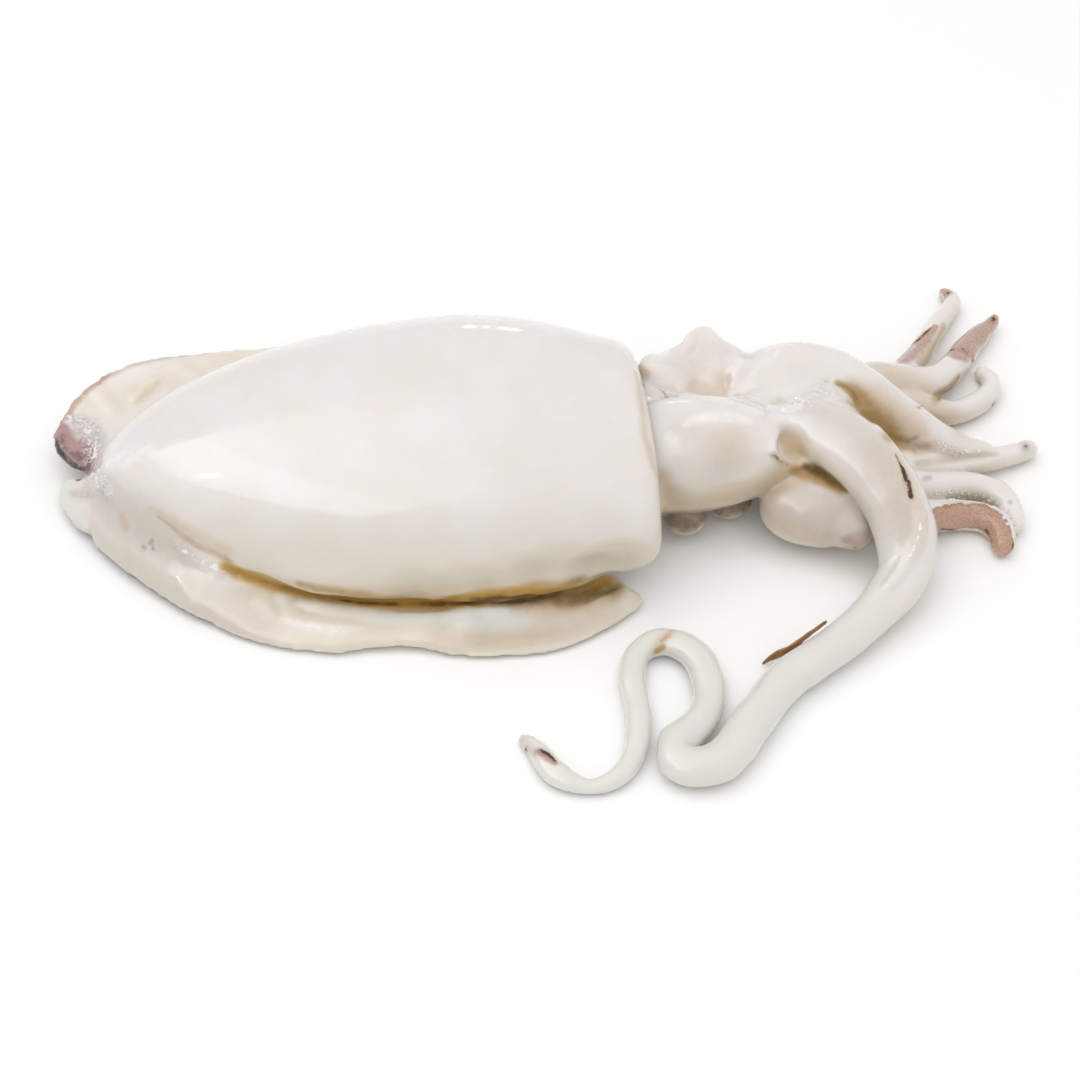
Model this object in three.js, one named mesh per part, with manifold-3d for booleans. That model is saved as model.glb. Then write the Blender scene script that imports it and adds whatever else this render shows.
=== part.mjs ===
// A whole raw cuttlefish, skinned and lying flat: the plump mantle with a fin along each side, and the
// head that sits in the mantle's mouth, with its arms and one long tentacle laid out in loops.
// Millimetres, +Z up. Places are measured from the middle of the mantle's mouth, on the table: +X runs to
// the arms, -X to the tail, -Y to the side that the tentacle lies on. The finished group is moved so that
// its origin is the bottom centre of its box.

import * as THREE from "three";
import { mergeVertices } from "three/addons/utils/BufferGeometryUtils.js";
import Module from "manifold-3d";

// Mantle
const TAIL_X = -158;
const MOUTH_X = -2;
const HALF_WIDTH = 47;
const WIDEST_AT = 0.68; // share of the length, from the tail
const TAIL_POWER = 1.5; // 2 is an ellipse's end, less is a more pointed tail
const NARROWING = 0.2; // loss of width from the widest place to the mouth
const DOME_HEIGHT = 39; // above the widest line
const WIDEST_Z = 14; // height of the widest line where the mantle is fullest
const TAIL_Z = 9; // and at the tail tip
const BELLY_DEPTH = 15; // below the widest line, just past the table, so that the belly lies flat
const DOME_POWER = 2.3; // superellipse power of the section above the widest line
const BELLY_POWER = 2.2; // and below it
const LIP_CURL_LENGTH = 9; // the lip curls in over this much of the length
const LIP_CURL = 0.12; // by this share of the half width
const LIP_WALL = 0.09; // flat front of the lip
const MOUTH_DEPTH = 12;
const MOUTH_SKEW = -0.12; // X lost for each millimetre of Y, so the mouth faces a little to -Y
const RETREAT_BELOW = 21; // under this height the mouth's edge draws back
const RETREAT = 31; // by this much at the table
const MANTLE_SIDES = 36;
const MANTLE_RINGS = 22;
const TAIL_CROWDING = 1.5; // draws the rings to the tail, which curves most
const LIP_STEP = 18; // degrees of the lip's curl in each of its rings

// Fins
const FIN_ROOT_HALF = 2.9; // half thickness at the root
const FIN_EDGE_HALF = 1.6; // and at the free edge
const FIN_END = 0.04; // share of the fin's length in which it rounds off at each end
const FIN_SIDES = 10;
const FIN_RINGS = 36;

// Limbs
const ARM_SIDES = 10;
const ARM_RINGS = 20;
const ARM_CROWDING = 0.8; // draws the rings to an arm's ends
const TENTACLE_SIDES = 10;
const TENTACLE_RINGS = 104;
const TENTACLE_CROWDING = 0.4;
const TENTACLE_FLATNESS = 0.85; // thickness over width
const NECK_SIDES = 18;
const NECK_RINGS = 14;
const LUMP_SIDES = 16;
const LUMP_RINGS = 11;
const SHRED_SIDES = 8;
const SHRED_RINGS = 14;
const SHRED_DEPTH = 2.8; // depth over thickness

const MANTLE_COLOUR = new THREE.Color(0.84, 0.81, 0.75);
const HEAD_COLOUR = new THREE.Color(0.85, 0.82, 0.76);
const SKIN_COLOUR = new THREE.Color(0.3, 0.11, 0.02);
const WET_ROUGHNESS = 0.25;

const wasm = await Module();
wasm.setup();

// A closed geometry as a solid, with its vertices shared and triangles of no area left out.
function solidOf(geometry) {
  const bare = geometry.clone();
  bare.deleteAttribute("normal");
  bare.deleteAttribute("uv");
  const merged = mergeVertices(bare, 1e-3);
  const corners = merged.index.array;
  const kept = [];
  for (let i = 0; i < corners.length; i += 3) {
    const [a, b, c] = corners.slice(i, i + 3);
    if (a !== b && b !== c && c !== a) kept.push(a, b, c);
  }
  const vertProperties = merged.attributes.position.array;
  const triVerts = new Uint32Array(kept);
  return new wasm.Manifold(new wasm.Mesh({ numProp: 3, vertProperties, triVerts }));
}

function fuse(geometries) {
  return geometries.map(solidOf).reduce((whole, next) => whole.add(next));
}

function geometryOf(solid) {
  const mesh = solid.getMesh();
  const geometry = new THREE.BufferGeometry();
  geometry.setAttribute("position", new THREE.BufferAttribute(mesh.vertProperties, 3));
  geometry.setIndex(new THREE.BufferAttribute(mesh.triVerts, 1));
  return geometry;
}

// Moves every vertex of a geometry to where place(vertex) says, and lets nothing sink into the table.
function reshape(geometry, place) {
  const position = geometry.attributes.position;
  const vertex = new THREE.Vector3();
  for (let i = 0; i < position.count; i++) {
    const moved = place(vertex.fromBufferAttribute(position, i));
    position.setXYZ(i, moved.x, moved.y, Math.max(0, moved.z));
  }
  return geometry;
}

function spline(points) {
  return new THREE.CatmullRomCurve3(points.map(([x, y, z]) => new THREE.Vector3(x, y, z)));
}

// A unit sphere drawn out into a long skin: place(along, across) gets the share of the length, from 0 to 1,
// and a point of the unit circle round it.
function drawnSkin(sides, rings, place) {
  return reshape(new THREE.SphereGeometry(1, sides, rings), (v) => {
    const along = Math.acos(THREE.MathUtils.clamp(v.y, -1, 1)) / Math.PI;
    const across = new THREE.Vector2(v.x, v.z);
    return place(along, across.lengthSq() > 1e-9 ? across.normalize() : across.set(1, 0));
  });
}

// 1 along the middle of a length, falling to 0 at both ends in a round cap.
function roundEnds(share, cap) {
  const inside = Math.min(share, 1 - share, cap) / cap;
  return Math.sqrt(Math.max(0, 1 - (1 - inside) ** 2));
}

// A fleshy limb through its stations, each [x, y, z, half width]. Crowding draws the rings to the ends.
function limb(stations, sides = ARM_SIDES, rings = ARM_RINGS, flatness = 1, crowding = ARM_CROWDING) {
  const path = spline(stations);
  const halves = stations.map((station) => station[3]);
  const cap = Math.min(0.5, halves.at(-1) / path.getLength());
  const up = new THREE.Vector3(0, 0, 1);
  return drawnSkin(sides, rings, (along, across) => {
    const share = along - (crowding * Math.sin(2 * Math.PI * along)) / (2 * Math.PI);
    const t = path.getUtoTmapping(share);
    const before = Math.min(Math.floor(t * (halves.length - 1)), halves.length - 2);
    const between = t * (halves.length - 1) - before;
    const half = THREE.MathUtils.lerp(halves[before], halves[before + 1], between) * roundEnds(share, cap);
    const tangent = path.getTangent(t);
    const side = new THREE.Vector3().crossVectors(up, tangent).normalize();
    const lift = new THREE.Vector3().crossVectors(tangent, side);
    const middle = path.getPoint(t);
    return middle.addScaledVector(side, across.x * half).addScaledVector(lift, across.y * half * flatness);
  });
}

// A thin flap between a root line and a free edge.
function flap(root, edge) {
  const rootLine = spline(root);
  const edgeLine = spline(edge);
  return drawnSkin(FIN_SIDES, FIN_RINGS, (along, across) => {
    const inner = rootLine.getPointAt(along);
    const outer = edgeLine.getPointAt(along);
    const rounding = roundEnds(along, FIN_END);
    const reach = 0.5 + 0.5 * across.x * rounding;
    const half = THREE.MathUtils.lerp(FIN_ROOT_HALF, FIN_EDGE_HALF, reach) * rounding;
    const outward = new THREE.Vector3().subVectors(outer, inner);
    const lift = new THREE.Vector3().crossVectors(rootLine.getTangentAt(along), outward).normalize();
    return inner.lerp(outer, reach).addScaledVector(lift, across.y * half);
  });
}

function ellipsoid([x, y, z], halves) {
  const shape = new THREE.SphereGeometry(1, LUMP_SIDES, LUMP_RINGS).scale(...halves);
  return reshape(shape.translate(x, y, z), (v) => v);
}

// Half width of the mantle at a share of its length, over its greatest half width.
function fullness(share) {
  if (share < WIDEST_AT) return Math.sqrt(1 - (1 - share / WIDEST_AT) ** TAIL_POWER);
  return 1 - NARROWING * ((share - WIDEST_AT) / (1 - WIDEST_AT)) ** 2;
}

// The mantle's profile from the tail tip round the lip and into the hollow of the mouth: x is the share of
// the greatest half width, y the place along the body.
function mantleProfile() {
  const length = MOUTH_X - TAIL_X;
  const curlStart = 1 - LIP_CURL_LENGTH / length;
  const profile = [];
  for (let i = 0; i < MANTLE_RINGS; i++) {
    const share = curlStart * (i / MANTLE_RINGS) ** TAIL_CROWDING;
    profile.push(new THREE.Vector2(fullness(share), TAIL_X + share * length));
  }
  const shoulder = fullness(curlStart);
  for (let turn = 0; turn <= 90; turn += LIP_STEP) {
    const angle = THREE.MathUtils.degToRad(turn);
    const x = shoulder - LIP_CURL * (1 - Math.cos(angle));
    profile.push(new THREE.Vector2(x, MOUTH_X - LIP_CURL_LENGTH * (1 - Math.sin(angle))));
  }
  const wall = shoulder - LIP_CURL - LIP_WALL;
  profile.push(new THREE.Vector2(wall + 0.3 * LIP_WALL, MOUTH_X));
  profile.push(new THREE.Vector2(wall, MOUTH_X - 1.5));
  profile.push(new THREE.Vector2(wall, MOUTH_X - 0.7 * MOUTH_DEPTH));
  profile.push(new THREE.Vector2(0.85 * wall, MOUTH_X - MOUTH_DEPTH));
  profile.push(new THREE.Vector2(0, MOUTH_X - MOUTH_DEPTH));
  return profile;
}

// The turned profile is pressed into a loaf: a dome above the widest line and a flat belly below it.
function mantleBody() {
  const bend = (value, power) => Math.sign(value) * Math.abs(value) ** (2 / power);
  return reshape(new THREE.LatheGeometry(mantleProfile(), MANTLE_SIDES), (v) => {
    const share = THREE.MathUtils.clamp((v.y - TAIL_X) / (MOUTH_X - TAIL_X), 0, 1);
    const girth = Math.hypot(v.x, v.z);
    const cos = girth > 0 ? v.x / girth : 1;
    const sin = girth > 0 ? -v.z / girth : 0;
    const power = sin > 0 ? DOME_POWER : BELLY_POWER;
    const depth = sin > 0 ? DOME_HEIGHT : BELLY_DEPTH;
    const y = HALF_WIDTH * girth * bend(cos, power);
    const z = THREE.MathUtils.lerp(TAIL_Z, WIDEST_Z, fullness(share)) + depth * girth * bend(sin, power);
    const retreat = RETREAT * Math.max(0, 1 - z / RETREAT_BELOW) ** 2;
    return new THREE.Vector3(v.y + share ** 2 * (MOUTH_SKEW * y - retreat), y, z);
  });
}

// The fin on the tentacle's side lies on the table, and climbs the flank towards the tail.
function nearFin() {
  const root = [
    [-157, 3, 10],
    [-150, -7, 16],
    [-140, -16, 20],
    [-128, -24, 18],
    [-117, -29, 13],
    [-108, -31, 7],
    [-95, -31, 4.8],
    [-55, -32, 4.4],
    [-25, -30, 4],
    [-8, -33, 3],
  ];
  const edge = [
    [-170.5, 6, 3],
    [-167, -5, 2.2],
    [-139, -34, 1.6],
    [-113, -51, 1.5],
    [-90, -56.5, 1.6],
    [-68, -54.5, 2],
    [-50, -58, 1.6],
    [-24, -55, 1.6],
    [-13, -49, 2],
    [-0.5, -38.5, 2.6],
  ];
  return flap(root, edge);
}

// The fin on the other side curls up round the tail.
function farFin() {
  const root = [
    [-157, 4, 8.5],
    [-149, 9, 7.5],
    [-130, 18, 6],
    [-95, 28, 5],
    [-55, 32, 4.4],
    [-25, 30, 4],
    [-8, 32, 3],
  ];
  const edge = [
    [-165, 5.5, 8],
    [-172, 17, 9.5],
    [-166, 36, 12],
    [-150, 46.5, 14],
    [-122, 51, 14],
    [-100, 56, 11.5],
    [-65, 58, 7],
    [-30, 55.5, 4],
    [-14, 48, 3],
    [-7, 36, 3],
  ];
  return flap(root, edge);
}

// Arms, from the crown of the head to the tip: one over the others, then from the far side to the near one
const ARMS = [
  [[26, 21, 26, 8], [38, 25, 29, 9], [50, 24.5, 29, 8.8], [62, 18.5, 25, 8], [76, 15.5, 16.5, 6.4],
    [89, 14, 10, 4], [99.5, 15.5, 7, 1.4]],
  [[52, 22, 18, 5.5], [68, 35.5, 13, 4.6], [77.5, 47, 9, 3.7], [90.6, 72.4, 4, 3.1], [95.6, 81, 3.2, 2.8],
    [95, 86, 2.8, 2.2], [92, 87.5, 2.4, 1.4]],
  [[50, 22, 18, 8], [66, 35.5, 15, 6.6], [81, 40.5, 9, 5.2], [89, 46.5, 6.6, 4.5], [97, 59.5, 4.8, 4],
    [103, 68, 4.2, 3.2], [107.7, 73.3, 3, 1.2]],
  [[50, 18, 15, 7], [74, 32, 10, 5], [89, 32, 5, 3.8], [96, 36, 4, 3.4], [102.5, 42.5, 3.5, 3.2],
    [103.2, 49, 3.2, 2.8], [99.6, 52.8, 2.6, 1.8]],
  [[48, 12, 10, 6], [64, 13, 6, 5], [76, 17, 4.2, 4], [86, 20, 3.4, 3.2], [92, 22, 2.4, 1.8]],
  [[48, 11, 15, 7], [71.5, 7, 11.5, 5], [87.4, 10, 6.5, 3.6], [105.5, 16.5, 4, 3], [113.2, 20.5, 3.6, 3]],
  [[48, 8, 13, 7], [74, -1.5, 9.5, 5.2], [86, 2, 6.5, 4.4], [95.5, 3, 5, 4], [101.5, -1.5, 4.5, 3.8],
    [103, -8, 3.8, 3.4], [103.6, -13, 3, 2]],
  [[46, -6, 12, 9], [62, -12, 10.5, 7.2], [74, -11.8, 8.5, 5], [88, -7.8, 5, 4.4], [95.5, -8.6, 4.6, 4.4],
    [99, -14, 4.4, 4.2], [98.5, -21, 3, 2.6]],
];

// The long tentacle: over the arms, down to the table, round a tight turn and out to its club
const TENTACLE = [
  [27, 9, 26, 8],
  [40, 5, 29.5, 9],
  [55, -6, 30, 10.2],
  [65, -17, 24, 9.6],
  [69.5, -25, 17, 9.2],
  [69.2, -34, 11, 7.9],
  [61.6, -44.6, 8, 6.3],
  [51.3, -54.7, 6.3, 5.9],
  [34, -69, 5.4, 5.8],
  [23.5, -84.5, 5.2, 5.7],
  [18.5, -93, 5.2, 5.8],
  [13, -96.8, 5.2, 5.9],
  [6.6, -96.6, 5.2, 5.9],
  [3.4, -92.4, 5, 6.1],
  [6.4, -87, 4.8, 5.3],
  [11.4, -81.4, 4.4, 4.5],
  [14.3, -72, 4.4, 4.5],
  [10.8, -58.4, 4.4, 4.6],
  [2.8, -53.6, 4, 4.1],
  [-4, -56.5, 3.6, 3.7],
  [-6.3, -64, 3.6, 3.6],
  [-4.8, -80, 3.4, 3.5],
  [-6.4, -92, 3.4, 3.2],
  [-11.5, -99, 2.6, 2.6],
  [-18.6, -101.2, 2.2, 2],
  [-27, -97.5, 3.2, 3.6],
  [-32.8, -88, 2.4, 2.4],
  [-36.8, -84.3, 1.4, 0.9],
];

const NECK = [
  [-11, 0, 20, 12],
  [-2, -1, 20.5, 15.5],
  [6, -1, 21.5, 16.6],
  [14, -0.5, 22.5, 16.8],
  [28, 0.5, 24, 14.2],
  [42, 3, 25, 10.5],
];

// Loose flesh that stands up behind the neck, in a ridge with one peak
const FAR_RIDGE = [
  [-3.6, 26.5, 21, 7],
  [0, 26.5, 22, 8.4],
  [4.8, 25.8, 24, 9],
  [10, 27.6, 27.2, 8],
  [15.5, 30, 31.4, 6.5],
  [20.5, 26.4, 29.5, 8],
  [28, 21, 27, 9],
];

// Round lumps of the head, each a middle and three half sizes
const LUMPS = [
  { middle: [-1, 2, 20], halves: [9, 23, 13] }, // collar in the mouth
  { middle: [22, 20, 19], halves: [22, 15, 15] }, // far cheek
  { middle: [40, 15, 23.5], halves: [17, 12, 11.5] }, // shoulder
  { middle: [46, 10, 20], halves: [13, 16, 15] }, // crown of the arms
  { middle: [47, -12.5, 13], halves: [17, 11, 11.5] }, // near bulge
  { middle: [10, -12, 9], halves: [6, 5, 5.5] }, // rear lump under the neck
  { middle: [22, -4.5, 8.5], halves: [7, 6, 6] }, // front lump under the neck
];
const EYE_POCKET = { middle: [38, -6.5, 33.5], halves: [4.6, 4.2, 3.6] };

function head() {
  const fleshy = [
    limb(NECK, NECK_SIDES, NECK_RINGS),
    limb(FAR_RIDGE),
    limb(TENTACLE, TENTACLE_SIDES, TENTACLE_RINGS, TENTACLE_FLATNESS, TENTACLE_CROWDING),
    ...ARMS.map((stations) => limb(stations)),
    ...LUMPS.map(({ middle, halves }) => ellipsoid(middle, halves)),
  ];
  return fuse(fleshy).subtract(solidOf(ellipsoid(EYE_POCKET.middle, EYE_POCKET.halves)));
}

// A torn strip of brown skin that hangs on edge off the tentacle's side, its tip on the table
const SHRED = [
  [46.9, -50.2, 8.6, 0.3],
  [40.3, -55, 7, 0.5],
  [36, -57.6, 5, 0.65],
  [32.5, -57.5, 2.8, 0.6],
  [29, -59.3, 1, 0.3],
];

function piece(name, solid, colour) {
  const finish = new THREE.MeshStandardMaterial({ color: colour, roughness: WET_ROUGHNESS });
  const mesh = new THREE.Mesh(geometryOf(solid), finish);
  mesh.name = name;
  return mesh;
}

const cuttlefish = new THREE.Group();
const mantle = fuse([mantleBody(), nearFin(), farFin()]);
const shred = solidOf(limb(SHRED, SHRED_SIDES, SHRED_RINGS, SHRED_DEPTH));
cuttlefish.add(piece("mantle", mantle, MANTLE_COLOUR));
cuttlefish.add(piece("head", head(), HEAD_COLOUR));
cuttlefish.add(piece("skin_shred", shred, SKIN_COLOUR));

const box = new THREE.Box3().setFromObject(cuttlefish);
const centre = box.getCenter(new THREE.Vector3());
for (const mesh of cuttlefish.children) mesh.position.set(-centre.x, -centre.y, -box.min.z);

export default cuttlefish;
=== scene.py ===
# %% [markdown]
# A whole raw cuttlefish, skinned, wet and creamy white, lies on a pale table: the plump mantle with a fin
# along each side, the head in its mouth, a fan of arms and one long tentacle in loops. The frame's solids
# have the right form but flat facets, so everything is built over them, in metres, in the same place.

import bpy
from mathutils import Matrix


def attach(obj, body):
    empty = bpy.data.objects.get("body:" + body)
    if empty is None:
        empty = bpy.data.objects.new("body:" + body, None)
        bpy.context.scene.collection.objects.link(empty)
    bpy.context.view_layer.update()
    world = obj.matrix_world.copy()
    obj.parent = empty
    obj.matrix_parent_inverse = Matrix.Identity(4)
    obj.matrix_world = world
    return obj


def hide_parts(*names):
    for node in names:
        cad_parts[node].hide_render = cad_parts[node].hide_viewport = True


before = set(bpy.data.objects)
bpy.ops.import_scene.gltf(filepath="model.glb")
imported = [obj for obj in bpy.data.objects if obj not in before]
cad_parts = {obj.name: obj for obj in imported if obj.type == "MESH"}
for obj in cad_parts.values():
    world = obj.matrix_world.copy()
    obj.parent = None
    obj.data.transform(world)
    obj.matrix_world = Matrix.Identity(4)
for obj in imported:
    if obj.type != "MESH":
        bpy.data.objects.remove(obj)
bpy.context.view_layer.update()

# %% [markdown]
# The camera comes first, because marks on the flesh are placed by where the photograph shows them. A mark's
# pixel becomes a ray, and where the ray meets the flesh is the mark's place, right from every side.

# %% Camera
import math

import bpy
from mathutils import Vector

MM = 0.001
PICTURE_SIDE = 1080
LENS_MM = 85
FILM_MM = 36
PIXEL_SPREAD = FILM_MM / LENS_MM / PICTURE_SIDE
CAMERA_RISE = math.radians(48)
CAMERA_REACH = 722 * MM
AIM = Vector((-1.74, -5.68, 0)) * MM

forward = Vector((0, math.cos(CAMERA_RISE), -math.sin(CAMERA_RISE)))
upward = Vector((0, math.sin(CAMERA_RISE), math.cos(CAMERA_RISE)))
viewpoint = AIM - CAMERA_REACH * forward

scene = bpy.context.scene
lens = bpy.data.cameras.new("camera")
lens.lens = LENS_MM
lens.sensor_width = FILM_MM
camera = bpy.data.objects.new("camera", lens)
camera.location = viewpoint
camera.rotation_euler = (math.pi / 2 - CAMERA_RISE, 0, 0)
scene.collection.objects.link(camera)
scene.camera = camera
print("camera at", [round(x, 3) for x in viewpoint])


def ray_to(pixel):
    """Direction from the camera through a pixel of the photograph."""
    across = (pixel[0] - PICTURE_SIDE / 2) * PIXEL_SPREAD
    down = (pixel[1] - PICTURE_SIDE / 2) * PIXEL_SPREAD
    return (forward + Vector((across, 0, 0)) - down * upward).normalized()


# %% [markdown]
# Flesh has no facets. It could be sculpted by hand, but a script can be run again, so a solid's triangles
# are joined to quads, rounded by subdivision and remeshed to an even net. A ball can close a slit.

# %% From facets to an even net
import bmesh
from mathutils import Matrix

MERGE_REACH = 1e-6
QUAD_ANGLE = math.radians(40)
BALL_LEVELS = 2
ROUNDING_LEVELS = 2


def even_net(name, node, voxel, fills):
    """A solid of the frame, and balls given in mm, as an object with one even net."""
    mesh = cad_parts[node].data.copy()
    facets = bmesh.new()
    facets.from_mesh(mesh)
    bmesh.ops.remove_doubles(facets, verts=facets.verts, dist=MERGE_REACH)
    bmesh.ops.join_triangles(facets, faces=facets.faces, angle_face_threshold=QUAD_ANGLE,
                             angle_shape_threshold=QUAD_ANGLE)
    for place, radius in fills:
        ball = Matrix.Translation(Vector(place) * MM)
        bmesh.ops.create_icosphere(facets, subdivisions=BALL_LEVELS, radius=radius * MM, matrix=ball)
    facets.to_mesh(mesh)
    facets.free()
    thing = bpy.data.objects.new(name, mesh)
    scene.collection.objects.link(thing)
    rounding = thing.modifiers.new("rounding", "SUBSURF")
    rounding.levels = ROUNDING_LEVELS
    rounding.render_levels = ROUNDING_LEVELS
    remesh = thing.modifiers.new("even net", "REMESH")
    remesh.mode = "VOXEL"
    remesh.voxel_size = voxel
    fine = bpy.data.meshes.new_from_object(thing.evaluated_get(bpy.context.evaluated_depsgraph_get()))
    thing.modifiers.clear()
    thing.data = fine
    fine.materials.clear()
    return thing


for node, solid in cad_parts.items():
    print(node, "has", len(solid.data.polygons), "facets to round")

# %% [markdown]
# Blender's mesh data is slow to change point by point, so the net is copied into arrays of points,
# neighbours and triangles, shaped there and written back at the end.

# %% Net as arrays
import itertools

import numpy as np

TINY = 1e-12


def read(items, field, kind, width):
    """One field of all the points, edges or triangles, a row for each."""
    values = np.empty(len(items) * width, kind)
    items.foreach_get(field, values)
    return values.reshape(-1, width)


class Net:
    """A fine net over one solid of the frame."""

    def __init__(self, name, node, voxel, growth=0.0, fills=()):
        self.thing = even_net(name, node, voxel, fills)
        self.mesh = self.thing.data
        self.points = read(self.mesh.vertices, "co", np.float32, 3).astype(float)
        self.mesh.calc_loop_triangles()
        self.corners = read(self.mesh.loop_triangles, "vertices", np.int32, 3)
        pairs = read(self.mesh.edges, "vertices", np.int32, 2)
        both_ways = np.concatenate([pairs, pairs[:, ::-1]])
        self.neighbours = both_ways[np.argsort(both_ways[:, 0], kind="stable"), 1]
        self.links = np.bincount(both_ways[:, 0], minlength=len(self.points))
        self.first = np.cumsum(self.links) - self.links
        self.points += growth * self.normals()

    def normals(self):
        a, b, c = (self.points[self.corners[:, k]] for k in range(3))
        facing = np.cross(b - a, c - a)
        total = np.zeros_like(self.points)
        for k, axis in itertools.product(range(3), range(3)):
            total[:, axis] += np.bincount(self.corners[:, k], facing[:, axis], len(total))
        return total / np.maximum(np.linalg.norm(total, axis=1, keepdims=True), TINY)

    def finish(self):
        self.mesh.vertices.foreach_set("co", self.points.ravel())
        self.mesh.shade_smooth()
        self.mesh.update()


print("net:", *(name for name in vars(Net) if not name.startswith("_")))

# %% [markdown]
# Skin pulls the flesh smooth. A smoothing modifier would shrink it, so each point goes towards the middle
# of its neighbours and then a little more back out. To stretch is to move outwards only, like a tight skin
# over a crease.

# %% Smoothing
EASE_IN = 0.5
EASE_OUT = -0.515
EASE_OUT_LESS = -0.505  # for long smoothing, which would swell with the full step
NORMALS_KEPT = 20


class SoftNet(Net):
    """A net that can be smoothed, by a share from 0 to 1 for each point."""

    def patch(self, where):
        """The points that are moved, each with its neighbours in one run."""
        moved = np.flatnonzero(np.broadcast_to(where, len(self.points)) > 0)
        counts = self.links[moved]
        ends = np.cumsum(counts)
        starts = ends - counts
        steps = np.arange(ends[-1]) - np.repeat(starts, counts)
        return moved, self.neighbours[np.repeat(self.first[moved], counts) + steps], starts

    def drift(self, patch):
        """From each point of a patch to the middle of its neighbours."""
        moved, neighbours, starts = patch
        middle = np.add.reduceat(self.points[neighbours], starts, axis=0) / self.links[moved][:, None]
        return middle - self.points[moved]

    def relax(self, rounds, where=1.0, ease_out=EASE_OUT):
        """Smooths, and gives back the volume that smoothing takes."""
        patch = self.patch(where)
        share = np.broadcast_to(where, len(self.points))[patch[0]][:, None]
        for step in range(2 * rounds):
            self.points[patch[0]] += share * (ease_out if step % 2 else EASE_IN) * self.drift(patch)

    def stretch(self, rounds, where):
        """Draws the flesh tight over creases: points only ever move outwards."""
        patch = self.patch(where)
        share = where[patch[0]]
        for step in range(rounds):
            if step % NORMALS_KEPT == 0:
                out = self.normals()[patch[0]]
            lift = np.maximum(np.sum(self.drift(patch) * out, axis=1), 0) * share
            self.points[patch[0]] += lift[:, None] * out


print("smoothing: in by", EASE_IN, "and out by", -EASE_OUT)

# %% [markdown]
# Folds and stains follow lines in the photograph, so a path is a row of pixels: x, y and, where it narrows,
# a factor. Rays find them on the flesh, and each point gets a share, 1 on the path and fading to 0, like a
# soft brush.

# %% From pixels to places
from mathutils.bvhtree import BVHTree

RAY_STEPS = np.arange(600, 860, 2) * MM  # from before the animal to behind it


class SeenNet(SoftNet):
    """A net on which pixels of the photograph can be found."""

    def look(self):
        """Makes the surface ready for rays."""
        self.tree = BVHTree.FromPolygons(self.points.tolist(), self.corners.tolist())

    def seen(self, pixels):
        """Where pixels fall on this piece: a hit, or the nearest place to the ray."""
        places = []
        for pixel in pixels:
            ray = ray_to(pixel)
            place = self.tree.ray_cast(viewpoint, ray)[0]
            if place is None:
                along = [viewpoint + ray * reach for reach in RAY_STEPS]
                place = min((self.tree.find_nearest(p) for p in along), key=lambda found: found[3])[0]
            places.append(np.array(place))
        return places

    def near(self, pixels, reach):
        """1 on the path that a row of pixels draws, falling smoothly to 0 at reach from it."""
        path = self.seen(pixels)
        widths = [reach * (pixel[2] if len(pixel) > 2 else 1) for pixel in pixels]
        share = np.zeros(len(self.points))
        low = np.min(path, axis=0) - max(widths)
        high = np.max(path, axis=0) + max(widths)
        inside = np.flatnonzero(np.all((self.points > low) & (self.points < high), axis=1))
        points = self.points[inside]
        steps = list(zip(path, path[1:], widths, widths[1:])) or [(path[0], path[0], reach, reach)]
        for start, end, width, end_width in steps:
            run = end - start
            along = np.clip((points - start) @ run / max(run @ run, TINY), 0, 1)
            away = np.linalg.norm(points - start - along[:, None] * run, axis=1)
            part = away / (width + along * (end_width - width))
            share[inside] = np.maximum(share[inside], np.maximum(1 - part ** 2, 0) ** 2)
        return share


print("one pixel is", round(CAMERA_REACH * PIXEL_SPREAD / MM, 2), "mm where the camera aims")

# %% [markdown]
# With shares the flesh is worked like clay: raised, pressed, pulled, drawn tight or stained. A stain is an
# attribute, one number for each point, that a material can read without unwrapping. Tables hold the
# strokes.

# %% Strokes and stains
class Flesh(SeenNet):
    """A net that is shaped and stained along paths of pixels. Tables give lengths in mm."""

    def raise_along(self, pixels, reach, height, facing=None):
        """Raises the flesh along a path, or presses it where height is negative."""
        out = self.normals()
        lift = height * self.near(pixels, reach)
        if facing is not None:
            lift *= np.clip(out @ np.array(facing), 0, 1)
        self.points += lift[:, None] * out

    def grab(self, start, end, reach, above=0.0):
        """Pulls the flesh sideways from one pixel to another, fully only where it is high enough."""
        place = self.seen([start])[0]
        ray = ray_to(end)
        target = np.array(viewpoint + ray * ((place[2] - viewpoint.z) / ray.z))
        away = np.linalg.norm(self.points - place, axis=1)
        share = np.maximum(1 - (away / reach) ** 2, 0) ** 2
        if above:
            share *= np.clip(self.points[:, 2] / above - 1, 0, 1)
        self.points += share[:, None] * (target - place)

    def raise_all(self, strokes, facing=None):
        """A row: reach, height, then one or more paths."""
        for reach, height, *paths in strokes.values():
            for path in paths:
                self.raise_along(path, reach * MM, height * MM, facing)
        print(self.thing.name, "raised or pressed:", ", ".join(strokes))

    def grab_all(self, pulls, above=0.0):
        """A row: from where, to where, reach."""
        for start, end, reach in pulls:
            self.grab(start, end, reach * MM, above)
        print(self.thing.name, "pulled at", len(pulls), "places")

    def stretch_all(self, skins):
        """A row: rounds, reach, path."""
        for rounds, reach, path in skins.values():
            self.stretch(rounds, self.near(path, reach * MM))
        print(self.thing.name, "drawn tight:", ", ".join(skins))

    def mark(self, name, values):
        """Keeps a value for each point, from 0 to 1. Of marks with one name the strongest counts."""
        layer = self.mesh.attributes.get(name) or self.mesh.attributes.new(name, "FLOAT", "POINT")
        before = read(layer.data, "value", np.float32, 1)[:, 0]
        layer.data.foreach_set("value", np.maximum(before, values).astype(np.float32))

    def stain_all(self, stains):
        """A row: attribute, strength, reach, then one or more paths."""
        for name, strength, reach, *paths in stains:
            for path in paths:
                self.mark(name, strength * self.near(path, reach * MM))
        print(self.thing.name, "stained:", *sorted({row[0] for row in stains}))


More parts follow.
